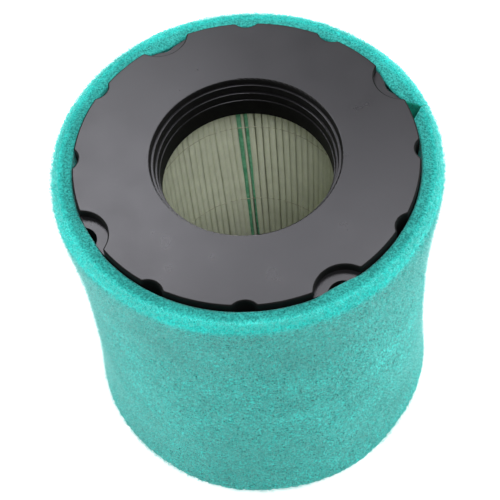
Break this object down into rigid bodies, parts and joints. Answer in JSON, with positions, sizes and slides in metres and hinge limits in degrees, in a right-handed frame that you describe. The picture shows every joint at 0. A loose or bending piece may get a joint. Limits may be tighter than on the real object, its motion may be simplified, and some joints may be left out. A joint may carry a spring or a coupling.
{
  "type": "air filter cartridge",
  "caption": "Round pleated-paper air filter cartridge with moulded end caps, a stepped radial seal bore at one end and a pull-off foam precleaner sleeve.",
  "frame": {"origin": "centre of the closed end cap's underside, on the cartridge's axis", "axes": "+Z along the cartridge's axis from the closed end towards the open end with the seal bore; the foam sleeve's butt joint is 13 degrees from +X towards +Y"},
  "size_m": [0.1334, 0.1334, 0.132],
  "materials": {
    "moulded_urethane": "matte",
    "filter_paper": "matte",
    "green_adhesive": "satin",
    "hot_melt": "satin",
    "precleaner_foam": "matte",
    "foam_adhesive": "matte"
  },
  "bodies": {
    "cartridge": {"top_end_cap": "moulded_urethane", "bottom_end_cap": "moulded_urethane", "pleated_media": "filter_paper", "media_seam_beads": "green_adhesive", "inner_spacer_threads": "hot_melt", "outer_spacer_threads": "hot_melt"},
    "precleaner": {"foam_precleaner": "precleaner_foam", "foam_seam_bond": "foam_adhesive"}
  },
  "joints": [
    {"name": "precleaner_pull_off", "type": "slide", "parent": "cartridge", "child": "precleaner", "axis": [0, 0, 1], "range_m": [0, 0.135]}
  ]
}
